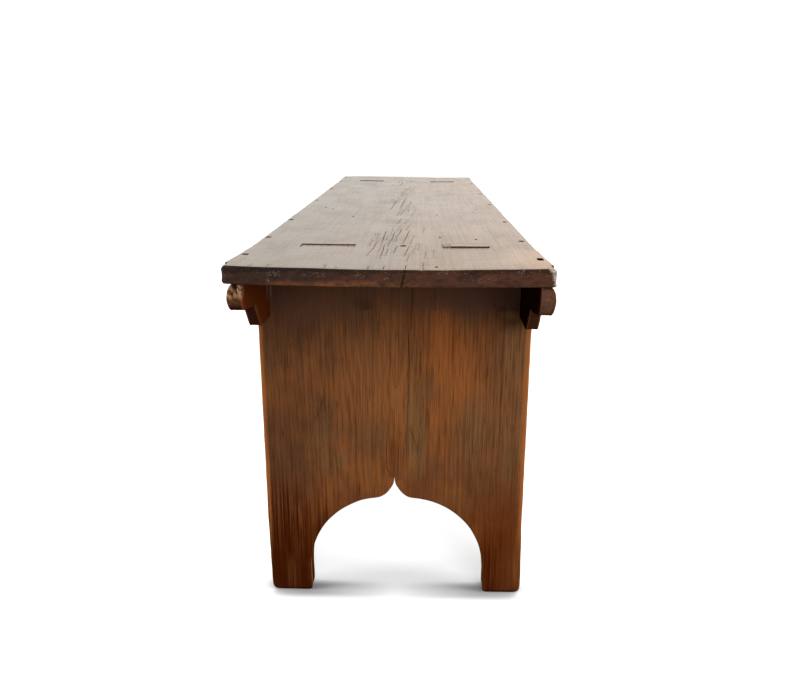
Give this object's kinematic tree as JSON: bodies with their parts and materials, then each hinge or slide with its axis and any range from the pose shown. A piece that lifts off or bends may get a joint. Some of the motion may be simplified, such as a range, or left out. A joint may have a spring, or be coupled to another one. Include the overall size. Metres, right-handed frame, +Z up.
{
  "type": "farmhouse bench",
  "caption": "Plank-seat farmhouse bench on board legs with ogee-arched feet, wedged through tenons, notched-in aprons with shaped ends and cut nails",
  "frame": {"origin": "on the floor, under the middle of the bench's box", "axes": "+Z up; +Y along the seat, from the end nearest the viewer to the far end; +X across the bench, to the viewer's right"},
  "size_m": [0.3316, 1.304, 0.458],
  "materials": {
    "seat_wood": "worn waxed pine, satin",
    "leg_wood": "old stained pine, satin",
    "apron_wood": "old stained pine, satin",
    "wedge_wood": "worn hardwood end grain, satin",
    "nail_iron": "rusted wrought iron, matte"
  },
  "bodies": {
    "root": {"seat_plank": "seat_wood", "front_leg_board": "leg_wood", "rear_leg_board": "leg_wood", "left_apron": "apron_wood", "right_apron": "apron_wood", "front_left_tenon_wedge": "wedge_wood", "front_right_tenon_wedge": "wedge_wood", "rear_left_tenon_wedge": "wedge_wood", "rear_right_tenon_wedge": "wedge_wood", "left_seat_nails": "nail_iron", "right_seat_nails": "nail_iron", "leg_top_nails": "nail_iron", "left_apron_nails": "nail_iron", "right_apron_nails": "nail_iron"}
  },
  "joints": []
}
